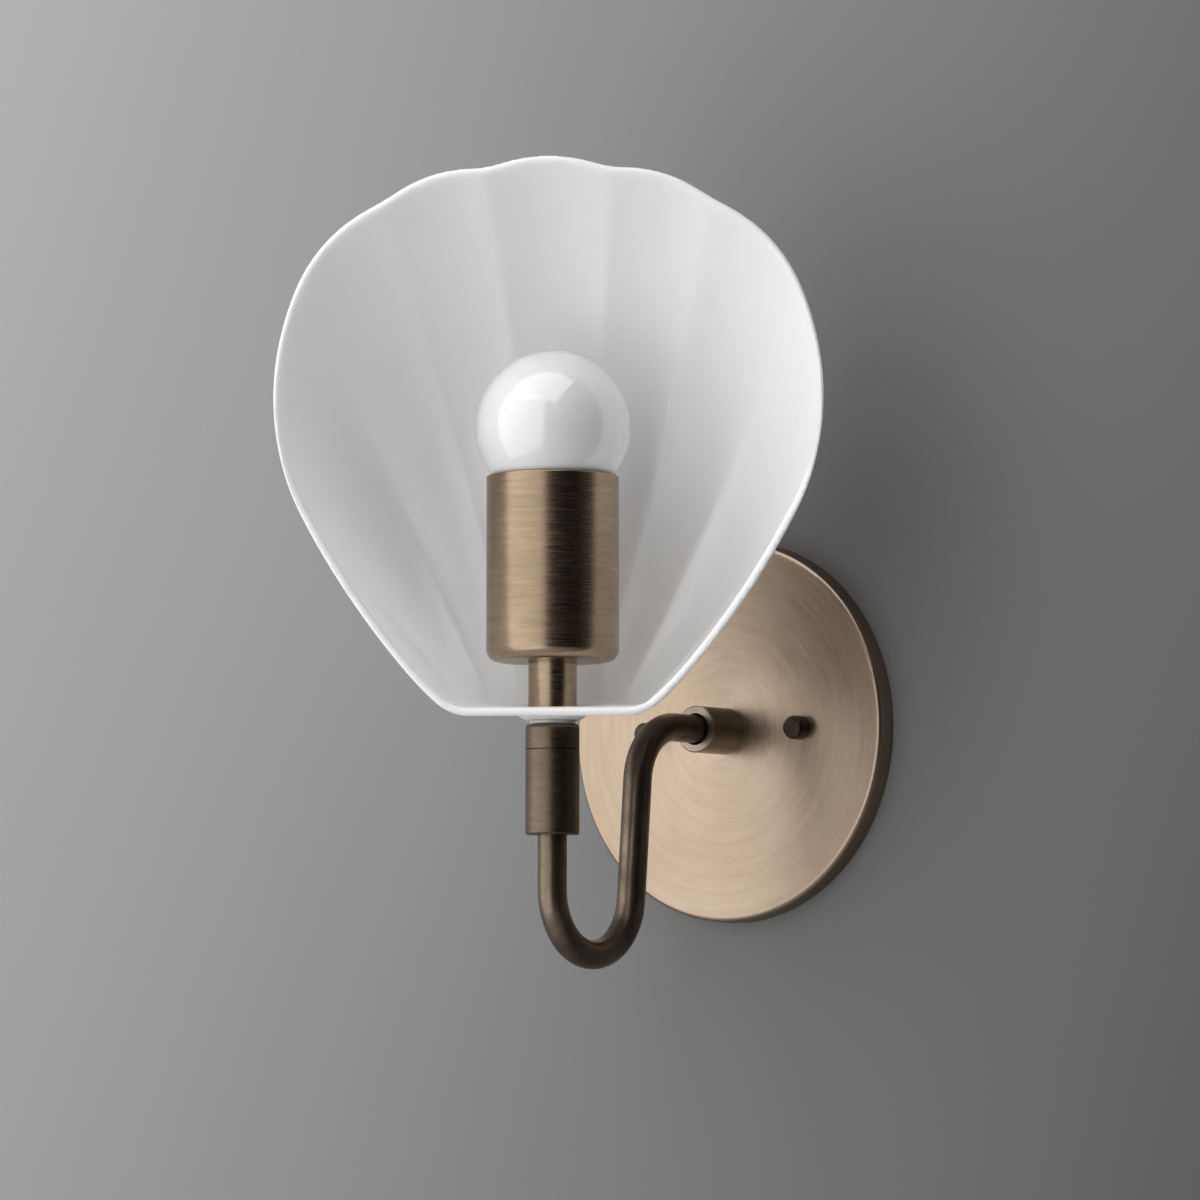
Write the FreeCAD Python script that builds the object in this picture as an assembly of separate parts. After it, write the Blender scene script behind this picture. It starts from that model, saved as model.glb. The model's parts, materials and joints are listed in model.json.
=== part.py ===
import FreeCAD, Part
import math
import os

# Shell wall sconce. Millimetres, +Z up, +X to the right.
# Origin: centre of the canopy on the wall plane. The wall is at y = 0 and
# the sconce reaches out along -Y. The arm leaves the canopy at z = 0.

V = FreeCAD.Vector
X_AXIS, Y_AXIS, Z_AXIS = V(1, 0, 0), V(0, 1, 0), V(0, 0, 1)

# ---- fits ----
RUN_GAP = 0.05          # radial gap of a part that turns or slides in its bore
SEAT_GAP = 0.05         # radial gap of a fixed part in its bore
FACE_GAP = 0.3          # gap between two bodies that face each other

# ---- canopy, the round back plate ----
CANOPY_DIA = 130.4
CANOPY_DEPTH = 7.0
CANOPY_WALL = 1.2
CANOPY_EDGE_R = 1.6
CANOPY_DRAFT = 0.5      # how much smaller the front is than the back, in radius

# ---- mounting bar inside the canopy ----
BAR_LENGTH = 112.0
BAR_WIDTH = 20.0
BAR_THICK = 1.6
BAR_RING_DIA = 40.0
BAR_HOLE_DIA = 26.0
BOX_SLOT_SPACING = 88.9
BOX_SLOT_WIDTH = 4.6
BOX_SLOT_LENGTH = 8.0

# ---- studs and cap nuts that hold the canopy to the bar ----
STUD_SPACING = 63.5
STUD_DIA = 4.0
STUD_BACK = 3.5         # length of stud behind the bar
JAM_NUT_FLATS = 7.0
JAM_NUT_THICK = 1.5
CAP_NUT_DIA = 8.0
CAP_NUT_HEIGHT = 5.2
CAP_NUT_DOME = 1.4
CAP_NUT_THREAD_DEPTH = 3.4

# ---- ground screw on the bar ----
GROUND_X = 38.5
GROUND_SCREW_DIA = 3.5
GROUND_HEAD_DIA = 7.0
GROUND_HEAD_THICK = 1.8
GROUND_SCREW_BACK = 4.0
GROUND_SLOT_WIDTH = 1.0

# ---- ferrule, the collar that the arm comes out of ----
FERRULE_DIA = 15.875
FERRULE_LENGTH = 16.9
FERRULE_MOUTH_DIA = 10.9
FERRULE_MOUTH_DEPTH = 11.0
FERRULE_CHAMFER = 0.4

# ---- arm tube ----
TUBE_DIA = 9.6
TUBE_WALL = 1.0
ARM_REACH = 101.0       # wall to the head's axis
LEG_LEAN = 5.0          # degrees; the leg leans to the wall at its top
TOP_BEND_R = 20.0
U_BEND_R = 21.0
U_BEND_Z = -56.1        # height of the centre of the U bend
TUBE_BEHIND = 1.0       # how far the tube's end lies in front of the wall

# ---- hardware that clamps the arm to the canopy ----
COLLAR_LENGTH = 3.5
WASHER_DIA = 18.0
WASHER_THICK = 0.6
WASHER_TEETH = 12
LOCK_NUT_FLATS = 15.0
LOCK_NUT_THICK = 3.0

# ---- coupler under the shade, and the ring that swivels on it ----
COUPLER_DIA = 17.7
COUPLER_TOP_Z = -10.6
COUPLER_BOTTOM_Z = -38.3
COUPLER_EDGE = 0.5
SEAT_DEPTH = 14.0            # how deep the arm tube seats in the coupler
RING_TOP_Z = -2.1
RING_EDGE_R = 1.4
PIVOT_DIA = 10.4
PIVOT_LENGTH = 5.6           # plain journal of the coupler inside the ring
CLIP_THICK = 0.7
CLIP_DIA = 12.4
CLIP_GROOVE_DEPTH = 0.5
CLIP_LAND = 0.5              # journal left above the clip
CLIP_OPENING = 3.0
STOP_PIN_DIA = 1.5
STOP_PIN_RISE = 1.6
STOP_PIN_RADIUS = 7.1
SWIVEL_RIGHT = 90.0          # degrees each way from facing straight out
SWIVEL_LEFT = 90.0

# ---- seal under the glass, stem and socket cover ----
GASKET_DIA = 15.0
STEM_DIA = 15.875
STEM_SPIGOT_DIA = 13.0       # lower thread, through the glass into the ring
STEM_SPIGOT_DROP = 2.0       # how far the spigot reaches into the ring
STEM_THREAD_DIA = 10.4       # upper thread, through the cover's floor
PAD_THICK = 0.5
CUP_DIA = 43.5
CUP_BOTTOM_Z = 18.3
CUP_TOP_Z = 79.3
CUP_WALL = 1.2
CUP_FLOOR = 2.0
CUP_BOTTOM_R = 4.0
CUP_TOP_R = 0.5
CUP_NUT_FLATS = 14.0
CUP_NUT_THICK = 3.0
THREAD_UP = 5.0              # stem thread above the cup's floor

# ---- lampholder inside the cover ----
HOLDER_DIA = 38.0
HOLDER_BORE_DIA = 27.6
HOLDER_RECESS_DIA = 20.0     # room for the nut under the holder
HOLDER_RECESS_DEPTH = 7.0
HOLDER_FLOOR_Z = 40.0        # top of the holder's floor, where the contact lies
HOLDER_TOP_Z = 68.0
SCREW_SHELL_WALL = 0.4
SCREW_SHELL_LENGTH = 24.0
CONTACT_WIDTH = 5.0
CONTACT_LENGTH = 12.0
CONTACT_THICK = 0.5

# ---- bulb ----
BULB_DIA = 51.0
BULB_CENTRE_Z = 95.3
BULB_GLASS = 1.0
BULB_NECK_DIA = 25.0
BULB_SCREW_TOP_Z = 68.0
BULB_SCREW_DIA = 26.0
BULB_SCREW_LENGTH = 21.0
BULB_SCREW_WALL = 0.4
THREAD_PITCH = 3.5
THREAD_DEPTH = 0.7
BULB_SEAL_LENGTH = 3.0
BULB_TIP_DIA = 9.0
BULB_TIP_LENGTH = 1.4
MOUNT_STEM_DIA = 8.0
MOUNT_STEM_LENGTH = 20.0
FILAMENT_DIA = 0.8
FILAMENT_SPAN = 14.0
FILAMENT_RISE = 12.0

# ---- glass shell ----
GLASS = 2.7
SHELL_BASE_Z = -1.1          # underside of the flat floor
SHELL_FRONT = 26.0           # the rim's plane lies this far in front of the head's axis
SHELL_BACK = 27.0            # the floor's back edge lies this far behind the axis
FLOOR_HALF_WIDTH = 31.0
FLOOR_POWER = 2.5            # how square the floor's outline is
SHELL_SWELL = 0.32           # how far the flutes belly out, as a share of their length
FLUTE_DEPTH = 8.0            # extra belly in the middle of a flute
STEM_HOLE_GAP = 0.3          # radial gap of the stem's spigot in the glass
# The rim seen from the front, right half: (x, height over the floor's underside)
# of the ribs between the flutes, and how far each flute swells past its chord.
RIB_ENDS = [(20.0, 178.2), (53.2, 167.8), (83.0, 137.1), (83.0, 70.8)]
CORNER_END = (35.0, 2.2)
LIP_CORNER_INSET = 1.6       # how far inside the rim's ends the floor's front corners lie
RIM_SWELLS = [4.2, 3.5, 4.6, 6.4, 3.2]
FLOOR_RIBS = [0.13, 0.36, 0.66, 0.90, 0.995]   # where the ribs start, share of the half width
STATIONS = 6                 # sections across one flute

# ---- leads ----
LEAD_DIA = 2.0
LEAD_SPREAD = 4.9            # centre to centre

# ---- pose ----
HEAD_TURN = 35.0             # degrees; how far the shell is turned to the right at rest

# ---- worked out from the sizes above ----
canopy_r = CANOPY_DIA / 2
bar_front = -BAR_THICK
canopy_inside = -(CANOPY_DEPTH - CANOPY_WALL)
ferrule_front = -(CANOPY_DEPTH + FERRULE_LENGTH)
tube_bore = TUBE_DIA - 2 * TUBE_WALL
ring_bottom = COUPLER_TOP_Z + FACE_GAP
pivot_top = COUPLER_TOP_Z + PIVOT_LENGTH
clip_bottom = pivot_top - CLIP_LAND - CLIP_THICK
spigot_bottom = RING_TOP_Z - STEM_SPIGOT_DROP
glass_floor_top = SHELL_BASE_Z + GLASS
stem_bottom = glass_floor_top + PAD_THICK
cup_floor_top = CUP_BOTTOM_Z + CUP_FLOOR
bulb_screw_bottom = BULB_SCREW_TOP_Z - BULB_SCREW_LENGTH
head_axis = V(0, -ARM_REACH, 0)


def cyl(dia, height, base, axis=Z_AXIS):
    return Part.makeCylinder(dia / 2, height, base, axis)


def tube(outer, inner, height, base, axis=Z_AXIS):
    return cyl(outer, height, base, axis).cut(cyl(inner, height, base, axis))


def hexagon(flats, height, base, axis=Z_AXIS):
    across = flats / math.sqrt(3)
    points = [V(across * math.cos(math.radians(60 * i)), across * math.sin(math.radians(60 * i)), 0)
              for i in range(7)]
    prism = Part.Face(Part.makePolygon(points)).extrude(V(0, 0, height))
    turn = FreeCAD.Rotation(Z_AXIS, axis)
    prism.Placement = FreeCAD.Placement(base, turn)
    return prism


def edges_at(shape, test):
    return [e for e in shape.Edges if test(e.BoundBox)]


def flat_in_y(y):
    return lambda box: abs(box.YMin - y) < 0.01 and abs(box.YMax - y) < 0.01


def flat_in_z(z):
    return lambda box: abs(box.ZMin - z) < 0.01 and abs(box.ZMax - z) < 0.01


# ---- canopy and what lies inside it ----
def revolve_y(points):
    """Turn an outline of (radius, y) points into a solid about the Y axis."""
    face = Part.Face(Part.makePolygon([V(r, y, 0) for r, y in points + points[:1]]))
    return face.revolve(V(0, 0, 0), Y_AXIS, 360)


def canopy():
    front_r = canopy_r - CANOPY_DRAFT
    outer = revolve_y([(0, 0), (canopy_r, 0), (front_r, -CANOPY_DEPTH), (0, -CANOPY_DEPTH)])
    outer = outer.makeFillet(CANOPY_EDGE_R, edges_at(outer, flat_in_y(-CANOPY_DEPTH)))
    inner = revolve_y([(0, 0), (canopy_r - CANOPY_WALL, 0),
                       (front_r - CANOPY_WALL, canopy_inside), (0, canopy_inside)])
    dish = outer.cut(inner)
    dish = dish.cut(cyl(TUBE_DIA + 2 * SEAT_GAP, CANOPY_DEPTH, V(0, 0, 0), -Y_AXIS))
    for x in (-STUD_SPACING / 2, STUD_SPACING / 2):
        dish = dish.cut(cyl(STUD_DIA + 2 * SEAT_GAP, CANOPY_DEPTH, V(x, 0, 0), -Y_AXIS))
    return dish


def slot(spacing_x):
    """A rounded slot along X through the bar."""
    straight = BOX_SLOT_LENGTH - BOX_SLOT_WIDTH
    box = Part.makeBox(straight, BAR_THICK, BOX_SLOT_WIDTH,
                       V(spacing_x - straight / 2, bar_front, -BOX_SLOT_WIDTH / 2))
    for side in (-1, 1):
        box = box.fuse(cyl(BOX_SLOT_WIDTH, BAR_THICK, V(spacing_x + side * straight / 2, 0, 0), -Y_AXIS))
    return box


def mounting_bar():
    bar = Part.makeBox(BAR_LENGTH, BAR_THICK, BAR_WIDTH, V(-BAR_LENGTH / 2, bar_front, -BAR_WIDTH / 2))
    bar = bar.fuse(cyl(BAR_RING_DIA, BAR_THICK, V(0, 0, 0), -Y_AXIS))
    bar = bar.cut(cyl(BAR_HOLE_DIA, BAR_THICK, V(0, 0, 0), -Y_AXIS))
    for side in (-1, 1):
        bar = bar.cut(slot(side * BOX_SLOT_SPACING / 2))
        bar = bar.cut(cyl(STUD_DIA, BAR_THICK, V(side * STUD_SPACING / 2, 0, 0), -Y_AXIS))
    ground = V(GROUND_X - STUD_SPACING, 0, BAR_WIDTH / 2 - GROUND_HEAD_DIA / 2)
    return bar.cut(cyl(GROUND_SCREW_DIA, BAR_THICK, ground, -Y_AXIS)).removeSplitter()


def stud(side):
    length = STUD_BACK + CANOPY_DEPTH + CAP_NUT_THREAD_DEPTH
    return cyl(STUD_DIA, length, V(side * STUD_SPACING / 2, STUD_BACK, 0), -Y_AXIS)


def jam_nut(side):
    base = V(side * STUD_SPACING / 2, bar_front, 0)
    nut = hexagon(JAM_NUT_FLATS, JAM_NUT_THICK, base, -Y_AXIS)
    return nut.cut(cyl(STUD_DIA, JAM_NUT_THICK, base, -Y_AXIS))


def cap_nut(side):
    base = V(side * STUD_SPACING / 2, -CANOPY_DEPTH, 0)
    nut = cyl(CAP_NUT_DIA, CAP_NUT_HEIGHT, base, -Y_AXIS)
    nut = nut.makeFillet(CAP_NUT_DOME, edges_at(nut, flat_in_y(-CANOPY_DEPTH - CAP_NUT_HEIGHT)))
    return nut.cut(cyl(STUD_DIA, CAP_NUT_THREAD_DEPTH, base, -Y_AXIS))


def ground_screw():
    centre = V(GROUND_X - STUD_SPACING, bar_front, BAR_WIDTH / 2 - GROUND_HEAD_DIA / 2)
    head = cyl(GROUND_HEAD_DIA, GROUND_HEAD_THICK, centre, -Y_AXIS)
    corner = centre + V(-GROUND_HEAD_DIA / 2, -GROUND_HEAD_THICK, -GROUND_SLOT_WIDTH / 2)
    head = head.cut(Part.makeBox(GROUND_HEAD_DIA, GROUND_HEAD_THICK / 2, GROUND_SLOT_WIDTH, corner))
    shank = cyl(GROUND_SCREW_DIA, BAR_THICK + GROUND_SCREW_BACK, centre, Y_AXIS)
    return head.fuse(shank).removeSplitter()


# ---- ferrule and arm ----
def ferrule():
    base = V(0, -CANOPY_DEPTH, 0)
    body = cyl(FERRULE_DIA, FERRULE_LENGTH, base, -Y_AXIS)
    body = body.makeChamfer(FERRULE_CHAMFER, edges_at(body, flat_in_y(ferrule_front)))
    body = body.cut(cyl(TUBE_DIA + 2 * SEAT_GAP, FERRULE_LENGTH, base, -Y_AXIS))
    return body.cut(cyl(FERRULE_MOUTH_DIA, FERRULE_MOUTH_DEPTH, V(0, ferrule_front, 0), Y_AXIS))


def stop_collar():
    floor = ferrule_front + FERRULE_MOUTH_DEPTH
    return tube(FERRULE_MOUTH_DIA - 2 * SEAT_GAP, TUBE_DIA, COLLAR_LENGTH, V(0, floor, 0), -Y_AXIS)


def lock_washer():
    ring = tube(WASHER_DIA, TUBE_DIA + 2 * SEAT_GAP, WASHER_THICK, V(0, canopy_inside, 0), Y_AXIS)
    tooth = math.pi * WASHER_DIA / WASHER_TEETH / 2
    for i in range(WASHER_TEETH):
        angle = 2 * math.pi * i / WASHER_TEETH
        spot = V(WASHER_DIA / 2 * math.cos(angle), canopy_inside, WASHER_DIA / 2 * math.sin(angle))
        ring = ring.cut(cyl(tooth, WASHER_THICK, spot, Y_AXIS))
    return ring


def lock_nut():
    base = V(0, canopy_inside + WASHER_THICK, 0)
    nut = hexagon(LOCK_NUT_FLATS, LOCK_NUT_THICK, base, Y_AXIS)
    return nut.cut(cyl(TUBE_DIA, LOCK_NUT_THICK, base, Y_AXIS))


def arm_path(start_y, end_z, shift_x=0.0):
    """Centre line of the arm: out of the canopy, down the leg, round the U and up."""
    lean = math.radians(LEG_LEAN)
    u_centre = (U_BEND_R - ARM_REACH, U_BEND_Z)

    def point(y, z):
        return V(shift_x, y, z)

    def on_u(degrees):
        a = math.radians(degrees)
        return point(u_centre[0] + U_BEND_R * math.cos(a), u_centre[1] + U_BEND_R * math.sin(a))

    leg_low = on_u(-LEG_LEAN)
    corner_y = leg_low.y - leg_low.z * math.tan(lean)
    tangent = TOP_BEND_R * math.tan((math.pi / 2 - lean) / 2)
    leg_high = point(corner_y - tangent * math.sin(lean), -tangent * math.cos(lean))
    run_end = point(corner_y + tangent, 0)
    bend_centre = point(corner_y + tangent, -TOP_BEND_R)
    middle = math.radians(90 + (90 - LEG_LEAN) / 2)
    bend_mid = bend_centre + V(0, TOP_BEND_R * math.cos(middle), TOP_BEND_R * math.sin(middle))
    edges = [
        Part.makeLine(point(start_y, 0), run_end),
        Part.Arc(run_end, bend_mid, leg_high).toShape(),
        Part.makeLine(leg_high, leg_low),
        Part.Arc(leg_low, on_u(-90 - LEG_LEAN / 2), on_u(180)).toShape(),
        Part.makeLine(on_u(180), point(-ARM_REACH, end_z)),
    ]
    return Part.Wire(edges)


def along_arm(dia, start_y, end_z, shift_x=0.0):
    path = arm_path(start_y, end_z, shift_x)
    profile = Part.Wire([Part.makeCircle(dia / 2, V(shift_x, start_y, 0), Y_AXIS)])
    return path.makePipeShell([profile], True, False)


def arm_tube():
    top = COUPLER_BOTTOM_Z + SEAT_DEPTH
    outer = along_arm(TUBE_DIA, -TUBE_BEHIND, top)
    return outer.cut(along_arm(tube_bore, -TUBE_BEHIND, top))


def arm_lead(side):
    """One insulated lead in the arm, from the wall box up to the swivel."""
    end_z = pivot_top - FACE_GAP
    return along_arm(LEAD_DIA, TUBE_BEHIND, end_z, side * LEAD_SPREAD / 2)


# ---- coupler and swivel ----
def on_head(z):
    """A point on the head's axis at height z."""
    return head_axis + V(0, 0, z)


def coupler():
    height = COUPLER_TOP_Z - COUPLER_BOTTOM_Z
    body = cyl(COUPLER_DIA, height, on_head(COUPLER_BOTTOM_Z))
    body = body.makeChamfer(COUPLER_EDGE, edges_at(body, flat_in_z(COUPLER_BOTTOM_Z)))
    body = body.fuse(cyl(PIVOT_DIA, PIVOT_LENGTH, on_head(COUPLER_TOP_Z)))
    body = body.cut(tube(PIVOT_DIA, PIVOT_DIA - 2 * CLIP_GROOVE_DEPTH, CLIP_THICK, on_head(clip_bottom)))
    body = body.cut(cyl(TUBE_DIA + 2 * SEAT_GAP, SEAT_DEPTH, on_head(COUPLER_BOTTOM_Z)))
    body = body.cut(cyl(STOP_PIN_DIA, STOP_PIN_RISE, stop_pin_spot() - V(0, 0, STOP_PIN_RISE)))
    return body.cut(cyl(tube_bore, height + PIVOT_LENGTH, on_head(COUPLER_BOTTOM_Z))).removeSplitter()


def stop_pin_spot():
    return on_head(COUPLER_TOP_Z) + V(0, STOP_PIN_RADIUS, 0)


def stop_pin():
    return cyl(STOP_PIN_DIA, 2 * STOP_PIN_RISE, stop_pin_spot() - V(0, 0, STOP_PIN_RISE))


def retaining_clip():
    clip = tube(CLIP_DIA, PIVOT_DIA - 2 * CLIP_GROOVE_DEPTH, CLIP_THICK, on_head(clip_bottom))
    mouth = Part.makeBox(CLIP_OPENING, CLIP_DIA, CLIP_THICK, on_head(clip_bottom) - V(CLIP_OPENING / 2, 0, 0))
    return clip.cut(mouth)


def swivel_ring():
    body = cyl(COUPLER_DIA, RING_TOP_Z - ring_bottom, V(0, 0, ring_bottom))
    body = body.makeFillet(RING_EDGE_R, edges_at(body, flat_in_z(RING_TOP_Z)))
    body = body.cut(cyl(PIVOT_DIA + 2 * RUN_GAP, RING_TOP_Z - ring_bottom, V(0, 0, ring_bottom)))
    recess_floor = clip_bottom - RUN_GAP
    body = body.cut(cyl(STEM_SPIGOT_DIA, RING_TOP_Z - recess_floor, V(0, 0, recess_floor)))
    return body.cut(stop_groove())


def stop_groove():
    """The arc in the ring's underside that lets the stop pin through the swivel's range."""
    near = STOP_PIN_RADIUS - STOP_PIN_DIA / 2 - FACE_GAP
    far = STOP_PIN_RADIUS + STOP_PIN_DIA / 2 + FACE_GAP
    top = ring_bottom + STOP_PIN_RISE + FACE_GAP
    margin = math.degrees((STOP_PIN_DIA / 2 + FACE_GAP) / near)
    corners = [V(near, 0, ring_bottom), V(far, 0, ring_bottom), V(far, 0, top), V(near, 0, top)]
    face = Part.Face(Part.makePolygon(corners + corners[:1]))
    groove = face.revolve(V(0, 0, 0), Z_AXIS, SWIVEL_RIGHT + SWIVEL_LEFT + 2 * margin)
    groove.rotate(V(0, 0, 0), Z_AXIS, 90 - SWIVEL_RIGHT - margin)
    return groove


# The head's parts are modelled facing straight out with the axis at x = y = 0.
# ---- stem and socket cover ----
def gasket():
    return tube(GASKET_DIA, STEM_SPIGOT_DIA, SHELL_BASE_Z - RING_TOP_Z, V(0, 0, RING_TOP_Z))


def glass_pad():
    return tube(STEM_DIA, STEM_SPIGOT_DIA, PAD_THICK, V(0, 0, glass_floor_top))


def stem():
    body = cyl(STEM_SPIGOT_DIA, stem_bottom - spigot_bottom, V(0, 0, spigot_bottom))
    body = body.fuse(cyl(STEM_DIA, CUP_BOTTOM_Z - stem_bottom, V(0, 0, stem_bottom)))
    body = body.fuse(cyl(STEM_THREAD_DIA, CUP_FLOOR + THREAD_UP, V(0, 0, CUP_BOTTOM_Z)))
    height = cup_floor_top + THREAD_UP - spigot_bottom
    return body.cut(cyl(tube_bore, height, V(0, 0, spigot_bottom)))


def socket_cover():
    height = CUP_TOP_Z - CUP_BOTTOM_Z
    cup = cyl(CUP_DIA, height, V(0, 0, CUP_BOTTOM_Z))
    cup = cup.makeFillet(CUP_BOTTOM_R, edges_at(cup, flat_in_z(CUP_BOTTOM_Z)))
    cup = cup.makeFillet(CUP_TOP_R, edges_at(cup, flat_in_z(CUP_TOP_Z)))
    room = cyl(CUP_DIA - 2 * CUP_WALL, height - CUP_FLOOR, V(0, 0, cup_floor_top))
    room = room.makeFillet(CUP_BOTTOM_R - CUP_FLOOR, edges_at(room, flat_in_z(cup_floor_top)))
    cup = cup.cut(room)
    return cup.cut(cyl(STEM_THREAD_DIA, CUP_FLOOR, V(0, 0, CUP_BOTTOM_Z)))


def cover_nut():
    nut = hexagon(CUP_NUT_FLATS, CUP_NUT_THICK, V(0, 0, cup_floor_top))
    return nut.cut(cyl(STEM_THREAD_DIA, CUP_NUT_THICK, V(0, 0, cup_floor_top)))


def head_lead(side):
    """One insulated lead in the stem, from the swivel up to the lampholder."""
    length = cup_floor_top + HOLDER_RECESS_DEPTH - spigot_bottom
    return cyl(LEAD_DIA, length, V(side * LEAD_SPREAD / 2, 0, spigot_bottom))


# ---- lampholder ----
def lampholder():
    body = cyl(HOLDER_DIA, HOLDER_TOP_Z - cup_floor_top, V(0, 0, cup_floor_top))
    body = body.makeChamfer(CUP_BOTTOM_R - CUP_FLOOR, edges_at(body, flat_in_z(cup_floor_top)))
    body = body.cut(cyl(HOLDER_RECESS_DIA, HOLDER_RECESS_DEPTH, V(0, 0, cup_floor_top)))
    return body.cut(cyl(HOLDER_BORE_DIA, HOLDER_TOP_Z - HOLDER_FLOOR_Z, V(0, 0, HOLDER_FLOOR_Z)))


def screw_shell():
    inner = HOLDER_BORE_DIA - 2 * SCREW_SHELL_WALL
    return tube(HOLDER_BORE_DIA, inner, SCREW_SHELL_LENGTH, V(0, 0, HOLDER_TOP_Z - SCREW_SHELL_LENGTH))


def centre_contact():
    """A sprung brass strip: a foot on the holder's floor and a tongue under the bulb's tip."""
    tip = bulb_screw_bottom - BULB_SEAL_LENGTH - BULB_TIP_LENGTH - FACE_GAP
    half = CONTACT_LENGTH / 2
    side = [V(half, 0, HOLDER_FLOOR_Z), V(-half, 0, HOLDER_FLOOR_Z),
            V(-half, 0, HOLDER_FLOOR_Z + CONTACT_THICK), V(0, 0, tip),
            V(CONTACT_THICK, 0, tip), V(CONTACT_THICK - half / 2, 0, HOLDER_FLOOR_Z + CONTACT_THICK),
            V(half, 0, HOLDER_FLOOR_Z + CONTACT_THICK), V(half, 0, HOLDER_FLOOR_Z)]
    strip = Part.Face(Part.makePolygon(side)).extrude(V(0, CONTACT_WIDTH, 0))
    strip.translate(V(0, -CONTACT_WIDTH / 2, 0))
    return strip


# ---- bulb ----
def bulb_solid(shrink):
    centre = V(0, 0, BULB_CENTRE_Z)
    ball = Part.makeSphere(BULB_DIA / 2 - shrink, centre)
    neck = cyl(BULB_NECK_DIA - 2 * shrink, BULB_CENTRE_Z - BULB_SCREW_TOP_Z, V(0, 0, BULB_SCREW_TOP_Z))
    return ball.fuse(neck)


def bulb_globe():
    return bulb_solid(0).cut(bulb_solid(BULB_GLASS))


def bulb_screw_base():
    turns = int(BULB_SCREW_LENGTH / THREAD_PITCH)
    pitch = BULB_SCREW_LENGTH / turns
    crest = BULB_SCREW_DIA / 2
    root = crest - THREAD_DEPTH
    outline = [V(root, 0, bulb_screw_bottom)]
    for i in range(turns):
        low = bulb_screw_bottom + i * pitch
        outline += [V(crest, 0, low + pitch / 2), V(root, 0, low + pitch)]
    inside = [point - V(BULB_SCREW_WALL, 0, 0) for point in reversed(outline)]
    face = Part.Face(Part.makePolygon(outline + inside + outline[:1]))
    return face.revolve(V(0, 0, 0), Z_AXIS, 360)


def bulb_seal():
    top = BULB_SCREW_DIA / 2 - THREAD_DEPTH - BULB_SCREW_WALL
    low = V(0, 0, bulb_screw_bottom - BULB_SEAL_LENGTH)
    return Part.makeCone(BULB_TIP_DIA / 2, top, BULB_SEAL_LENGTH, low)


def bulb_tip():
    low = bulb_screw_bottom - BULB_SEAL_LENGTH - BULB_TIP_LENGTH
    return cyl(BULB_TIP_DIA, BULB_TIP_LENGTH, V(0, 0, low))


def mount_stem():
    return cyl(MOUNT_STEM_DIA, MOUNT_STEM_LENGTH + BULB_SCREW_LENGTH, V(0, 0, bulb_screw_bottom))


def filament():
    """Two support wires on the mount stem with the filament between their tops."""
    low = bulb_screw_bottom + MOUNT_STEM_LENGTH + BULB_SCREW_LENGTH
    half = FILAMENT_SPAN / 2
    foot = MOUNT_STEM_DIA / 4
    points = [V(-foot, 0, low), V(-foot, 0, low + FILAMENT_DIA), V(-half, 0, low + FILAMENT_RISE),
              V(half, 0, low + FILAMENT_RISE), V(foot, 0, low + FILAMENT_DIA), V(foot, 0, low)]
    wire = None
    for start, end in zip(points, points[1:]):
        rod = cyl(FILAMENT_DIA, (end - start).Length, start, end - start)
        knuckle = Part.makeSphere(FILAMENT_DIA / 2, end)
        wire = rod if wire is None else wire.fuse(rod)
        wire = wire.fuse(knuckle) if end is not points[-1] else wire
    return wire


# ---- glass shell ----
def floor_edge(share):
    """Plan view: a point of the floor's outline, share runs from -1 left to 1 right."""
    back = (1 - abs(share) ** FLOOR_POWER) ** (1 / FLOOR_POWER)
    return share * FLOOR_HALF_WIDTH, -SHELL_FRONT + (SHELL_FRONT + SHELL_BACK) * back


def ribs():
    """Every rib from the left corner over the top to the right corner:
    (share of the floor's half width, rim x, rim height)."""
    right = [(share, x, z) for share, (x, z) in zip(FLOOR_RIBS, RIB_ENDS + [CORNER_END])]
    left = [(-share, -x, z) for share, x, z in reversed(right)]
    return left + right


def flute_section(share, rim_x, rim_z, belly):
    """A closed section of the glass wall in the plane that holds the front-back direction
    and the line from the floor's outline to the rim, as seen from the front."""
    foot_x, foot_y = floor_edge(share)
    length = math.hypot(rim_x - foot_x, rim_z)
    along = V((rim_x - foot_x) / length, 0, rim_z / length)
    start = V(0, foot_y)
    middle = V(length / 2, foot_y + SHELL_SWELL * length + belly)
    end = V(length, -SHELL_FRONT)
    leg_in = (middle - start).normalize()
    leg_out = (end - middle).normalize()
    in_normal = V(leg_in.y, -leg_in.x)
    out_normal = V(leg_out.y, -leg_out.x)
    inner_start = V(0, foot_y - GLASS / leg_in.x)
    inner_end = V(length + GLASS / leg_out.y, -SHELL_FRONT)
    inner_middle = middle + (in_normal + out_normal) * (GLASS / (1 + in_normal.dot(out_normal)))

    def place(point):
        return V(foot_x, 0, SHELL_BASE_Z) + along * point.x + V(0, point.y, 0)

    outer = Part.BezierCurve()
    outer.setPoles([place(p) for p in (start, middle, end)])
    inner = Part.BezierCurve()
    inner.setPoles([place(p) for p in (inner_end, inner_middle, inner_start)])
    return Part.Wire([outer.toShape(), Part.makeLine(place(end), place(inner_end)),
                      inner.toShape(), Part.makeLine(place(inner_start), place(start))])


def flute(first, last, swell):
    """One flute of the glass between two ribs."""
    chord = V(last[1] - first[1], last[2] - first[2])
    outward = V(-chord.y, chord.x).normalize()
    sections = []
    for i in range(STATIONS + 1):
        t = i / STATIONS
        arch = 4 * t * (1 - t)
        share = first[0] + (last[0] - first[0]) * t
        x = first[1] + chord.x * t + outward.x * swell * arch
        z = first[2] + chord.y * t + outward.y * swell * arch
        sections.append(flute_section(share, x, z, FLUTE_DEPTH * swell / RIM_SWELLS[0] * arch))
    return Part.makeLoft(sections, True, False)


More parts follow.
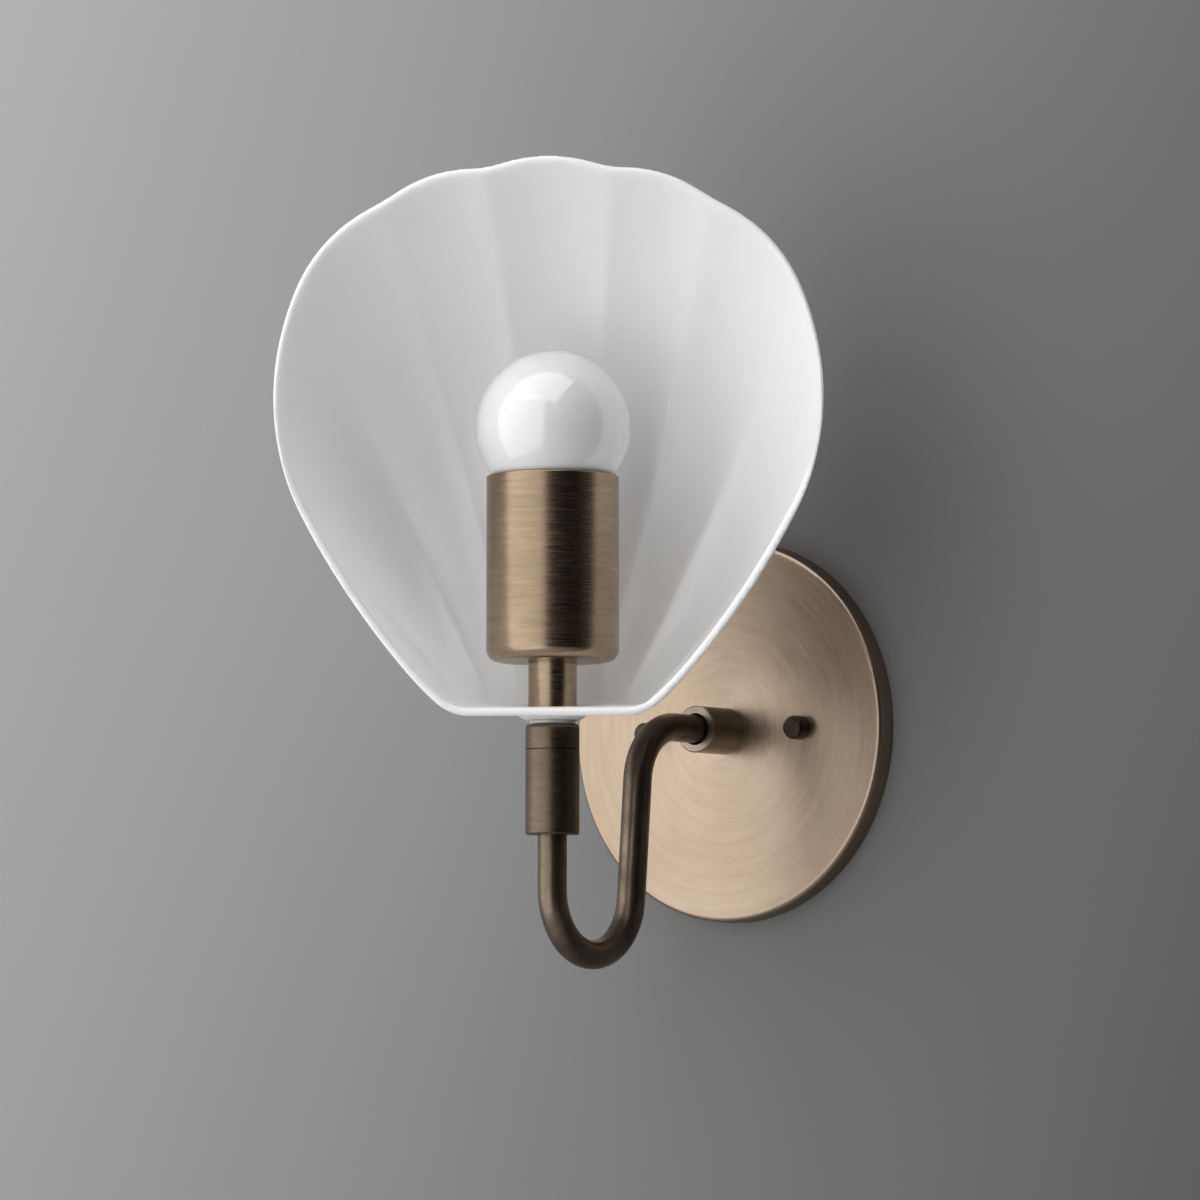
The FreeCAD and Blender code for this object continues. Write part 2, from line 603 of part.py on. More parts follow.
def floor_plate():
    """The flat floor. Its curved edge lies in the middle of the wall around it, and its
    front corners reach out under the ends of the rim."""
    shrink = 1 - GLASS / 2 / FLOOR_HALF_WIDTH
    count = 4 * STATIONS
    points = []
    for i in range(count + 1):
        x, y = floor_edge(FLOOR_RIBS[-1] * math.sin(math.pi / 2 * (2 * i / count - 1)))
        points.append(V(x * shrink, (y + SHELL_FRONT) * shrink - SHELL_FRONT, SHELL_BASE_Z))
    curve = Part.BSplineCurve()
    curve.interpolate(points)
    corner_x = CORNER_END[0] - LIP_CORNER_INSET
    right = V(corner_x, -SHELL_FRONT, SHELL_BASE_Z)
    left = V(-corner_x, -SHELL_FRONT, SHELL_BASE_Z)
    outline = Part.Wire([curve.toShape(), Part.makeLine(points[-1], right),
                         Part.makeLine(right, left), Part.makeLine(left, points[0])])
    return Part.Face(outline).extrude(V(0, 0, GLASS))


def glass_shade():
    rib_list = ribs()
    swells = RIM_SWELLS[:0:-1] + RIM_SWELLS
    flutes = [flute(first, last, swell)
              for first, last, swell in zip(rib_list, rib_list[1:], swells)]
    shell = flutes[0]
    for piece in flutes[1:] + [floor_plate()]:
        shell = shell.fuse(piece)
    hole = STEM_SPIGOT_DIA + 2 * STEM_HOLE_GAP
    return shell.cut(cyl(hole, GLASS, V(0, 0, SHELL_BASE_Z)))


# ---- the parts, by name ----
def pair(make):
    return Part.makeCompound([make(-1), make(1)])


def turned(shape):
    """Move a head part to the head's axis and turn it to its rest pose."""
    shape.rotate(V(0, 0, 0), Z_AXIS, HEAD_TURN)
    shape.translate(head_axis)
    return shape


FIXED_PARTS = {
    "canopy": canopy,
    "mounting_bar": mounting_bar,
    "canopy_studs": lambda: pair(stud),
    "stud_jam_nuts": lambda: pair(jam_nut),
    "cap_nuts": lambda: pair(cap_nut),
    "ground_screw": ground_screw,
    "ferrule": ferrule,
    "arm_stop_collar": stop_collar,
    "lock_washer": lock_washer,
    "lock_nut": lock_nut,
    "arm_tube": arm_tube,
    "arm_lead_live": lambda: arm_lead(-1),
    "arm_lead_neutral": lambda: arm_lead(1),
    "coupler": coupler,
    "swivel_stop_pin": stop_pin,
    "swivel_clip": retaining_clip,
}

HEAD_PARTS = {
    "swivel_ring": swivel_ring,
    "glass_gasket": gasket,
    "glass_pad": glass_pad,
    "glass_shade": glass_shade,
    "stem": stem,
    "head_lead_live": lambda: head_lead(-1),
    "head_lead_neutral": lambda: head_lead(1),
    "socket_cover": socket_cover,
    "cover_nut": cover_nut,
    "lampholder": lampholder,
    "screw_shell": screw_shell,
    "centre_contact": centre_contact,
    "bulb_globe": bulb_globe,
    "bulb_screw_base": bulb_screw_base,
    "bulb_seal": bulb_seal,
    "bulb_tip": bulb_tip,
    "bulb_mount_stem": mount_stem,
    "bulb_filament": filament,
}

os.makedirs("parts", exist_ok=True)
for name, make in FIXED_PARTS.items():
    make().exportStep(f"parts/{name}.step")
for name, make in HEAD_PARTS.items():
    turned(make()).exportStep(f"parts/{name}.step")
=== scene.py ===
import json
import math

import bmesh
import bpy
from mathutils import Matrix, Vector


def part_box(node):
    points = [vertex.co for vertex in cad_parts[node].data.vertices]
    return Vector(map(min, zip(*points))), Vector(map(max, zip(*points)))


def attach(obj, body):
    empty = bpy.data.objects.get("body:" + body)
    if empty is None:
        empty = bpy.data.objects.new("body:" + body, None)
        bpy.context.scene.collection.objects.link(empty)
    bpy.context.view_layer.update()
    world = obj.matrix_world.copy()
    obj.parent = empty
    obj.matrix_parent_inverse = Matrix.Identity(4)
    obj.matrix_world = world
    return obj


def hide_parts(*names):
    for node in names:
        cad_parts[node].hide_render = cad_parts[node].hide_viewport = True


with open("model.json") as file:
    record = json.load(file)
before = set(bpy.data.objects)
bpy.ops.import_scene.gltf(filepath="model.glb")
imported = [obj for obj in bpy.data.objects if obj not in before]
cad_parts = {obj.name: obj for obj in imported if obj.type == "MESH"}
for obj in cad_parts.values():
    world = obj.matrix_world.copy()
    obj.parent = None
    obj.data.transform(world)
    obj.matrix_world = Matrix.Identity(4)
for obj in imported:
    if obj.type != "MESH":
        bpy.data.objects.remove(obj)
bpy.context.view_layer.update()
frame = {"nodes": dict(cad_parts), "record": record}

MM = 0.001

# ---- the photograph's view ----
VIEW_AZIMUTH = 38.2          # degrees to the right of straight in front
VIEW_ELEVATION = -5.0
VIEW_DISTANCE = 1.7
VIEW_TARGET = Vector((-0.0125, -0.060, 0.0421))
FOCAL_PX = 5066.0            # focal length in pixels of the photograph
PHOTO_PX = 1200.0
SENSOR = 36.0

# ---- places taken from the joints ----
SWIVEL = next(j for j in frame["record"]["behaviour"]["joints"] if j["name"] == "head_swivel")
HEAD_AXIS = Vector(SWIVEL["pos_m"])
HEAD_TURN = math.radians(35.0)    # the head's turn at rest, away from straight out

# ---- glass shell, as in the solid model ----
GLASS = 2.7 * MM
SHELL_BASE_Z = -1.1 * MM
SHELL_FRONT = 26.0 * MM
SHELL_BACK = 27.0 * MM
FLOOR_HALF_WIDTH = 31.0 * MM
FLOOR_POWER = 2.5
SHELL_SWELL = 0.32
FLUTE_DEPTH = 8.0 * MM
STEM_HOLE_R = 6.8 * MM
RIB_ENDS = [(20.0, 178.2), (53.2, 167.8), (83.0, 137.1), (83.0, 70.8)]
CORNER_END = (35.0, 2.2)
RIM_SWELLS = [4.2, 3.5, 4.6, 6.4, 3.2]
FLOOR_RIBS = [0.13, 0.36, 0.66, 0.90, 0.995]
FLUTE_STEPS = 24             # mesh columns across one flute
WALL_STEPS = 44              # mesh rows from foot to rim
RIM_STEPS = 6                # rows round the rim's edge
RIB_SOFTEN = 1               # passes that round the ribs inside the shell
RIM_SOFTEN = 9               # passes that round them at the rim
RIM_POWER = 3                # how soon the crisp ribs melt into the rim
RIM_GAIN = 1.05

# ---- glass floor and lip, where the scene is finer than the solid model ----
LIP_BEAD_R = 1.38 * MM       # rounded edge along the lower sides and the lip
LIP_CORNER_R = 15.0 * MM     # outer radius of the lip's corners
LIP_CORNER_X = 25.5 * MM     # where the corners start
LIP_CORNER_ANGLE = 44.0
CORNER_STEPS = 6
CORNER_SPAN = 6.5            # steps that would fill the whole angle
FLOOR_RISE = 0.09            # slope of the floor up to the back, outside the flat seat
FLOOR_LAP = 1.5 * MM         # the floor reaches this far into the side walls
FLOOR_COUNT = 48             # points along its curved edge
LIP_COUNT = 24               # and along its straight edge
FLOOR_STEPS = 14             # rings from the stem hole to the edge
SEAT_R = 8.4 * MM            # flat seat round the stem
SEAT_BLEND = 4.5 * MM        # width of the ring round it where the slope sets in
BEAD_SIDES = 16
BEAD_RUN = 6                 # columns of the next flute that the rounded edge fades out on
BEAD_SKIP = 3                # columns that the corner takes the place of
BEAD_ROUNDS = 3              # times the edge's path is smoothed
BEAD_FADE = 60               # points over which it grows to its full size
BEAD_TIP = 0.35              # its share of that size at the ends
SKIN_VOXEL = 0.7 * MM        # grain of the remeshed glass
SKIN_SOFTEN = 3
SKIN_KEEP = 0.4              # share of its faces that the finished skin keeps

# ---- studio ----
WALL_SIZE = 6.0
BOX_R = 60.0 * MM            # opening of the wall box, behind the canopy
BOX_SIDES = 96
WALL_GAP = 0.1 * MM          # between the wall plane and the wall's paint
PAINTED_SHADE_REACH = 0.4             # painted shade: the wall's colour darkens from this far left to this far right
PAINTED_SHADE_ACROSS = 0.85           # how far it goes from its light to its dark colour,
PAINTED_SHADE_DOWN = 0.22             # across and downwards,
FADE_CLOUD = 0.04            # and how uneven it is
FLOOR_DROP = 1.1             # of the room's floor
KEY_AZIMUTH = -18.0
KEY_ELEVATION = 3.0
KEY_DISTANCE = 1.3           # of both softboxes
KEY_SIZE = (2.45, 2.3)
KEY_WATTS = 26.0
TOP_AZIMUTH = 8.0
TOP_ELEVATION = 62.0
TOP_SIZE = (1.6, 1.2)
TOP_WATTS = 12.0
FILL_LEFT = 0.70             # light from the room's bright side
FILL_RIGHT = 0.01            # and from its dark side
FILL_SPAN = (-1.0, 0.2)      # the room fades between these directions' X
FILL_BEHIND = 0.6            # behind the wall, which keeps it off the front
BEHIND_SPAN = (0.0, 0.1)     # and that light sets in between these directions' Y


# ---------------------------------------------------------------- materials
class Shade:
    """A node material with its Principled shader and short ways to add nodes."""

    def __init__(self, name):
        self.mat = bpy.data.materials.new(name)
        self.mat.use_nodes = True
        self.nodes = self.mat.node_tree.nodes
        self.links = self.mat.node_tree.links
        self.bsdf = self.nodes["Principled BSDF"]

    def set(self, **values):
        for key, value in values.items():
            self.bsdf.inputs[key.replace("_", " ")].default_value = value

    def node(self, kind, **inputs):
        made = self.nodes.new(kind)
        for key, value in inputs.items():
            self.feed(made.inputs[key.replace("_", " ")], value)
        return made

    def feed(self, socket, value):
        if isinstance(value, bpy.types.NodeSocket):
            self.links.new(value, socket)
        else:
            socket.default_value = value

    def math(self, operation, a, b=0.0):
        made = self.nodes.new("ShaderNodeMath")
        made.operation = operation
        self.feed(made.inputs[0], a)
        self.feed(made.inputs[1], b)
        return made.outputs[0]

    def place(self):
        return self.node("ShaderNodeTexCoord").outputs["Object"]

    def noise(self, vector, scale, detail=3.0, roughness=0.5):
        made = self.node("ShaderNodeTexNoise", Vector=vector, Scale=scale, Detail=detail,
                         Roughness=roughness)
        return made.outputs["Fac"]

    def ramp(self, value, stops):
        made = self.node("ShaderNodeValToRGB", Fac=value)
        bar = made.color_ramp
        while len(bar.elements) < len(stops):
            bar.elements.new(0.5)
        for element, (spot, colour) in zip(bar.elements, stops):
            element.position = spot
            element.color = (*colour, 1.0)
        return made.outputs["Color"]

    def span(self, value, low, high, out_low, out_high):
        made = self.node("ShaderNodeMapRange", Value=value, From_Min=low, From_Max=high,
                         To_Min=out_low, To_Max=out_high)
        return made.outputs["Result"]

    def bump(self, height, distance, strength=1.0):
        made = self.node("ShaderNodeBump", Height=height, Distance=distance, Strength=strength)
        return made.outputs["Normal"]

    def join(self, **sockets):
        for key, socket in sockets.items():
            self.links.new(socket, self.bsdf.inputs[key.replace("_", " ")])


def grey(level):
    return (level, level, level)


def turned_lines(shade, centre, axis, lines_per_m, drift):
    """A noise that is stretched round an axis, like the marks of a lathe or a polishing wheel."""
    spot = shade.node("ShaderNodeVectorMath", Vector=shade.place())
    spot.operation = "SUBTRACT"
    spot.inputs[1].default_value = centre
    split = shade.node("ShaderNodeSeparateXYZ", Vector=spot.outputs[0])
    across = {"Z": ("X", "Y"), "Y": ("X", "Z")}[axis]
    first, second = (split.outputs[name] for name in across)
    squares = shade.math("ADD", shade.math("MULTIPLY", first, first),
                         shade.math("MULTIPLY", second, second))
    radius = shade.math("SQRT", squares)
    run = shade.math("MULTIPLY", shade.math("ADD", radius, split.outputs[axis]), lines_per_m)
    cosine = shade.math("MULTIPLY", shade.math("DIVIDE", first, radius), drift)
    sine = shade.math("MULTIPLY", shade.math("DIVIDE", second, radius), drift)
    return shade.node("ShaderNodeCombineXYZ", X=run, Y=cosine, Z=sine).outputs[0]


def brushed_brass(name, centre, axis, light, dark, roughness, lines=5200.0, depth=0.012):
    """Turned brass: fine lines round the axis, a few deeper ones, and a slow patina."""
    shade = Shade(name)
    fine = shade.noise(turned_lines(shade, centre, axis, lines, 2.2), 1.0, 4.0, 0.65)
    coarse = shade.noise(turned_lines(shade, centre, axis, lines / 9, 1.2), 1.0, 3.0, 0.6)
    cloud = shade.noise(shade.place(), 28.0, 5.0, 0.6)
    tone = shade.math("ADD", shade.math("MULTIPLY", fine, 0.45), shade.math("MULTIPLY", coarse, 0.25))
    tone = shade.math("ADD", tone, shade.math("MULTIPLY", cloud, 0.30))
    colour = shade.ramp(tone, [(0.36, dark), (0.62, light)])
    rough = shade.span(fine, 0.3, 0.7, roughness - 0.05, roughness + 0.09)
    height = shade.math("ADD", fine, shade.math("MULTIPLY", coarse, 0.6))
    shade.set(Metallic=1.0, Anisotropic=0.65)
    tangent = shade.nodes.new("ShaderNodeTangent")
    tangent.direction_type = "RADIAL"
    tangent.axis = axis
    shade.join(Base_Color=colour, Roughness=rough, Normal=shade.bump(height, depth * MM, 0.8),
               Tangent=tangent.outputs[0])
    return shade.mat


def dark_bronze(name, light=(0.20, 0.145, 0.10), dark=(0.075, 0.052, 0.035)):
    """Darkened bronze with a mottled patina and lighter rubbed spots."""
    shade = Shade(name)
    cloud = shade.noise(shade.place(), 55.0, 6.0, 0.62)
    grain = shade.noise(shade.place(), 900.0, 3.0, 0.6)
    tone = shade.math("ADD", shade.math("MULTIPLY", cloud, 0.75), shade.math("MULTIPLY", grain, 0.25))
    shade.set(Metallic=0.95)
    shade.join(Base_Color=shade.ramp(tone, [(0.34, dark), (0.66, light)]),
               Roughness=shade.span(tone, 0.3, 0.7, 0.42, 0.26),
               Normal=shade.bump(grain, 0.02 * MM, 0.6))
    return shade.mat


def plain_metal(name, light, dark, roughness, grain_scale=700.0):
    """Plated or polished metal with a fine grain."""
    shade = Shade(name)
    grain = shade.noise(shade.place(), grain_scale, 4.0, 0.6)
    shade.set(Metallic=1.0)
    shade.join(Base_Color=shade.ramp(grain, [(0.3, dark), (0.7, light)]),
               Roughness=shade.span(grain, 0.3, 0.7, roughness - 0.05, roughness + 0.08),
               Normal=shade.bump(grain, 0.01 * MM, 0.5))
    return shade.mat


def opal_glass(name):
    """Pressed opal glass with a satin skin: milky inside, faintly uneven, softly shiny."""
    shade = Shade(name)
    wave = shade.noise(shade.place(), 34.0, 3.0, 0.5)
    pore = shade.noise(shade.place(), 1400.0, 3.0, 0.6)
    shade.set(Subsurface_Weight=1.0, Subsurface_Scale=5.0 * MM, Subsurface_Radius=(1.0, 1.0, 1.0),
              IOR=1.5, Coat_Weight=0.15, Coat_Roughness=0.3)
    shade.join(Base_Color=shade.ramp(wave, [(0.3, (0.965, 0.965, 0.97)), (0.7, (0.985, 0.985, 0.985))]),
               Roughness=shade.span(pore, 0.3, 0.7, 0.36, 0.48),
               Normal=shade.bump(wave, 0.12 * MM, 0.35))
    return shade.mat


def opal_bulb(name):
    """Glossy white coated glass."""
    shade = Shade(name)
    wave = shade.noise(shade.place(), 22.0, 2.0, 0.5)
    shade.set(Subsurface_Weight=0.2, Subsurface_Scale=2.0 * MM, IOR=1.5, Coat_Weight=0.8,
              Coat_IOR=1.6, Coat_Roughness=0.06)
    shade.join(Base_Color=shade.ramp(wave, [(0.3, (0.77, 0.77, 0.77)), (0.7, (0.81, 0.81, 0.805))]),
               Roughness=shade.span(wave, 0.3, 0.7, 0.10, 0.14))
    return shade.mat


def insulator(name, light, dark, roughness):
    """Moulded or drawn plastic, rubber or phenolic with a little unevenness."""
    shade = Shade(name)
    grain = shade.noise(shade.place(), 420.0, 4.0, 0.6)
    shade.set(IOR=1.48)
    shade.join(Base_Color=shade.ramp(grain, [(0.35, dark), (0.65, light)]),
               Roughness=shade.span(grain, 0.3, 0.7, roughness - 0.06, roughness + 0.08),
               Normal=shade.bump(grain, 0.02 * MM, 0.5))
    return shade.mat


def clear_glass(name):
    shade = Shade(name)
    wave = shade.noise(shade.place(), 60.0, 2.0, 0.5)
    shade.set(Transmission_Weight=1.0, IOR=1.5)
    shade.join(Base_Color=shade.ramp(wave, [(0.3, grey(0.93)), (0.7, grey(0.97))]),
               Roughness=shade.span(wave, 0.3, 0.7, 0.02, 0.05))
    return shade.mat


def node_materials():
    """One material for every node of the solid model."""
    head = tuple(HEAD_AXIS)
    origin = (0.0, 0.0, 0.0)
    aged_light, aged_dark = (0.36, 0.27, 0.185), (0.20, 0.145, 0.095)
    dull_light, dull_dark = (0.17, 0.13, 0.095), (0.095, 0.07, 0.048)
    pale_light, pale_dark = (0.39, 0.308, 0.235), (0.295, 0.22, 0.157)
    zinc = plain_metal("zinc_steel", grey(0.66), grey(0.5), 0.32)
    spring = plain_metal("spring_steel", grey(0.4), grey(0.28), 0.3)
    bright = plain_metal("bright_brass", (0.83, 0.65, 0.36), (0.7, 0.52, 0.26), 0.2)
    washer = insulator("clear_gasket", (0.62, 0.62, 0.6), (0.5, 0.5, 0.48), 0.35)
    black_lead = insulator("black_insulation", grey(0.035), grey(0.02), 0.5)
    white_lead = insulator("white_insulation", grey(0.82), grey(0.74), 0.5)
    bronze = dark_bronze("dark_bronze", (0.20, 0.155, 0.115), (0.075, 0.056, 0.04))
    turned = brushed_brass("aged_brass_turned", head, "Z", aged_light, aged_dark, 0.22, depth=0.008)
    dull = brushed_brass("dull_brass_turned", head, "Z", dull_light, dull_dark, 0.30)
    return {
        "canopy": brushed_brass("brushed_brass_spun", origin, "Y", pale_light, pale_dark,
                                0.30, 3800.0, 0.02),
        "mounting_bar": zinc,
        "canopy_studs": zinc,
        "stud_jam_nuts": zinc,
        "cap_nuts": dark_bronze("nut_bronze", (0.065, 0.048, 0.036), (0.025, 0.018, 0.013)),
        "ground_screw": plain_metal("green_screw", (0.16, 0.42, 0.2), (0.1, 0.3, 0.14), 0.35),
        "ferrule": brushed_brass("aged_brass_ferrule", origin, "Y",
                                 (0.30, 0.25, 0.20), (0.20, 0.165, 0.125), 0.30),
        "arm_stop_collar": bronze,
        "lock_washer": zinc,
        "lock_nut": zinc,
        "arm_tube": bronze,
        "arm_lead_live": black_lead,
        "arm_lead_neutral": white_lead,
        "coupler": dull,
        "swivel_stop_pin": zinc,
        "swivel_clip": spring,
        "swivel_ring": dull,
        "glass_gasket": washer,
        "glass_pad": washer,
        "glass_shade": opal_glass("opal_glass"),
        "stem": turned,
        "head_lead_live": black_lead,
        "head_lead_neutral": white_lead,
        "socket_cover": turned,
        "cover_nut": zinc,
        "lampholder": insulator("black_phenolic", grey(0.05), grey(0.03), 0.3),
        "screw_shell": bright,
        "centre_contact": bright,
        "bulb_globe": opal_bulb("opal_bulb"),
        "bulb_screw_base": bright,
        "bulb_seal": insulator("black_glass", grey(0.03), grey(0.02), 0.15),
        "bulb_tip": plain_metal("solder", grey(0.75), grey(0.6), 0.25),
        "bulb_mount_stem": clear_glass("clear_glass"),
        "bulb_filament": plain_metal("tungsten", grey(0.3), grey(0.22), 0.3),
    }


def dress(nodes, materials):
    for name, obj in nodes.items():
        for spot in obj.material_slots:
            spot.material = materials[name]


# ---------------------------------------------------------------- meshes
def head_point(x, y, z):
    """From the head's own axes, facing straight out, to the frame at rest."""
    cosine, sine = math.cos(HEAD_TURN), math.sin(HEAD_TURN)
    return Vector((x * cosine - y * sine, x * sine + y * cosine, z)) + HEAD_AXIS


def floor_edge(share):
    back = max(0.0, 1 - abs(share) ** FLOOR_POWER) ** (1 / FLOOR_POWER)
    return share * FLOOR_HALF_WIDTH, -SHELL_FRONT + (SHELL_FRONT + SHELL_BACK) * back


def corner_rise(x):
    """How far the round corner of the lip has risen here."""
    side = min(max(0.0, abs(x) - LIP_CORNER_X), LIP_CORNER_R * math.sin(math.radians(LIP_CORNER_ANGLE)))
    return LIP_CORNER_R - math.sqrt(LIP_CORNER_R ** 2 - side ** 2)


def floor_height(x, y):
    """The underside of the floor: flat round the stem, rising to the back and the corners."""
    seat = min(1.0, max(0.0, (math.hypot(x, y) - SEAT_R) / SEAT_BLEND))
    return SHELL_BASE_Z + corner_rise(x) + FLOOR_RISE * (y + SHELL_FRONT) * seat * seat * (3 - 2 * seat)


def bezier(a, b, c, t):
    return a * (1 - t) ** 2 + b * (2 * t * (1 - t)) + c * t ** 2


def glass_section(share, rim_x, rim_z, belly):
    """Points of one section of the glass wall: up the outside, round the rim, down the inside."""
    foot_x, foot_y = floor_edge(share)
    base = Vector((foot_x, 0.0, floor_height(foot_x, foot_y)))
    along = Vector((rim_x, 0.0, rim_z + SHELL_BASE_Z)) - base
    length = along.length
    along.normalize()
    start = Vector((0.0, foot_y))
    middle = Vector((length / 2, foot_y + SHELL_SWELL * length + belly))
    end = Vector((length, -SHELL_FRONT + GLASS / 2))
    leg_in, leg_out = (middle - start).normalized(), (end - middle).normalized()
    in_normal = Vector((leg_in.y, -leg_in.x))
    out_normal = Vector((leg_out.y, -leg_out.x))
    inner_start = Vector((0.0, foot_y - GLASS / leg_in.x))
    inner_end = end + out_normal * GLASS
    inner_middle = middle + (in_normal + out_normal) * (GLASS / (1 + in_normal.dot(out_normal)))
    outside = [bezier(start, middle, end, i / WALL_STEPS) for i in range(WALL_STEPS + 1)]
    centre, radius = (end + inner_end) / 2, GLASS / 2
    rim = []
    for i in range(1, RIM_STEPS):
        angle = math.pi * i / RIM_STEPS
        rim.append(centre - out_normal * (radius * math.cos(angle))
                   + leg_out * (radius * math.sin(angle)))
    inside = [bezier(inner_end, inner_middle, inner_start, i / WALL_STEPS)
              for i in range(WALL_STEPS + 1)]
    return [base + along * p.x + Vector((0.0, p.y, 0.0)) for p in outside + rim + inside]


def softened(columns, passes):
    """The sections with the ribs between the flutes rounded off."""
    for _ in range(passes):
        inner = [[(a + 2 * b + c) / 4 for a, b, c in zip(*trio)]
                 for trio in zip(columns, columns[1:], columns[2:])]
        columns = [columns[0]] + inner + [columns[-1]]
    return columns


def glass_columns():
    """Sections of the wall from the left corner, over the top, to the right corner. The
    ribs are crisp inside the shell and melt into smooth waves at the rim."""
    right = [(share, x * MM, z * MM) for share, (x, z) in zip(FLOOR_RIBS, RIB_ENDS + [CORNER_END])]
    ribs = [(-share, -x, z) for share, x, z in reversed(right)] + right
    swells = [s * MM for s in RIM_SWELLS[:0:-1] + RIM_SWELLS]
    columns = []
    for first, last, swell in zip(ribs, ribs[1:], swells):
        chord = Vector((last[1] - first[1], last[2] - first[2]))
        outward = Vector((-chord.y, chord.x)).normalized()
        steps = FLUTE_STEPS + (last is ribs[-1])
        for i in range(steps):
            t = i / FLUTE_STEPS
            arch = 4 * t * (1 - t)
            share = first[0] + (last[0] - first[0]) * t
            rim = Vector(first[1:]) + chord * t + outward * (swell * arch)
            belly = FLUTE_DEPTH * swell / (RIM_SWELLS[0] * MM) * arch
            columns.append(glass_section(share, rim.x, max(rim.y, corner_rise(rim.x)), belly))
    crisp, soft = softened(columns, RIB_SOFTEN), softened(columns, RIM_SOFTEN)
    rows = len(columns[0])
    nearness = [min(1.0, (1 - abs(2 * i / (rows - 1) - 1)) ** RIM_POWER * RIM_GAIN) for i in range(rows)]
    return [[a.lerp(b, near) for a, b, near in zip(*pair, nearness)] for pair in zip(crisp, soft)]


def new_object(name, mesh_maker):
    mesh = bpy.data.meshes.new(name)
    build = bmesh.new()
    mesh_maker(build)
    bmesh.ops.recalc_face_normals(build, faces=build.faces)
    build.to_mesh(mesh)
    build.free()
    mesh.shade_smooth()
    obj = bpy.data.objects.new(name, mesh)
    bpy.context.scene.collection.objects.link(obj)
    return obj


def skin(build, loops, closed):
    """Faces between loops of points. The last loop meets the first, or both ends are capped."""
    rings = [[build.verts.new(head_point(*point)) for point in loop] for loop in loops]
    for low, high in zip(rings, rings[1:] + (rings[:1] if closed else [])):
        for i in range(len(low)):
            j = (i + 1) % len(low)
            build.faces.new((low[i], low[j], high[j], high[i]))
    if not closed:
        build.faces.new(rings[0])
        build.faces.new(list(reversed(rings[-1])))


def wall_mesh(build):
    skin(build, glass_columns(), False)


def floor_mesh(build):
    """The floor, with the hole for the stem."""
    outline = []
    for i in range(FLOOR_COUNT + 1):
        x, y = floor_edge(FLOOR_RIBS[-1] * math.sin(math.pi / 2 * (2 * i / FLOOR_COUNT - 1)))
        outline.append(Vector((x, y)) + Vector((x, 0.0)).normalized() * FLOOR_LAP)
    corner_x = LIP_CORNER_X + (LIP_CORNER_R - LIP_BEAD_R) * math.sin(math.radians(LIP_CORNER_ANGLE))
    for i in range(LIP_COUNT + 1):
        outline.append(Vector((corner_x * (1 - 2 * i / LIP_COUNT), LIP_BEAD_R - SHELL_FRONT)))
    hole = [point.normalized() * STEM_HOLE_R for point in outline]
    under = []
    for step in range(FLOOR_STEPS + 1):
        ring = [a.lerp(b, step / FLOOR_STEPS) for a, b in zip(hole, outline)]
        under.append([Vector((p.x, p.y, floor_height(p.x, p.y))) for p in ring])
    over = [[p + Vector((0.0, 0.0, GLASS)) for p in ring] for ring in reversed(under)]
    skin(build, under + over, True)


def bead_path():
    """The middle of the rounded edge, from one lower side of the rim to the other."""
    side = [column[WALL_STEPS] for column in glass_columns()[-FLUTE_STEPS - BEAD_RUN:-BEAD_SKIP]]
    right = []
    for before, after in zip(side, side[1:]):
        run = (after - before).normalized()
        right.append(Vector((after.x + run.z * LIP_BEAD_R, 0.0, after.z - run.x * LIP_BEAD_R)))
    radius = LIP_CORNER_R - LIP_BEAD_R
    for step in range(CORNER_STEPS, -1, -1):
        angle = math.radians(LIP_CORNER_ANGLE * step / CORNER_SPAN)
        right.append(Vector((LIP_CORNER_X + radius * math.sin(angle), 0.0,
                             SHELL_BASE_Z + LIP_CORNER_R - radius * math.cos(angle))))
    path = right + [Vector((-p.x, 0.0, p.z)) for p in reversed(right)]
    for _ in range(BEAD_ROUNDS):
        cut = [p for a, b in zip(path, path[1:]) for p in (a.lerp(b, 0.25), a.lerp(b, 0.75))]
        path = [path[0]] + cut + [path[-1]]
    return path


def bead_mesh(build):
    path = bead_path()
    depth = Vector((0.0, LIP_BEAD_R - SHELL_FRONT, 0.0))
    turns = [2 * math.pi * k / BEAD_SIDES for k in range(BEAD_SIDES)]
    loops = []
    for i, point in enumerate(path):
        run = (path[min(i + 1, len(path) - 1)] - path[max(i - 1, 0)]).normalized()
        out = run.cross(Vector((0.0, 1.0, 0.0)))
        ends = min(i, len(path) - 1 - i) / BEAD_FADE
        size = LIP_BEAD_R * min(1.0, BEAD_TIP + (1 - BEAD_TIP) * ends)
        loops.append([point + depth + (out * math.cos(a) + Vector((0.0, math.sin(a), 0.0))) * size
                      for a in turns])
    skin(build, loops, False)


def applied(obj, kind, **values):
    """Put a modifier on a mesh and keep its result."""
    change = obj.modifiers.new(kind.lower(), kind)
    for key, value in values.items():
        setattr(change, key, value)
    graph = bpy.context.evaluated_depsgraph_get()
    result = bpy.data.meshes.new_from_object(obj.evaluated_get(graph))
    obj.modifiers.clear()
    obj.data = result


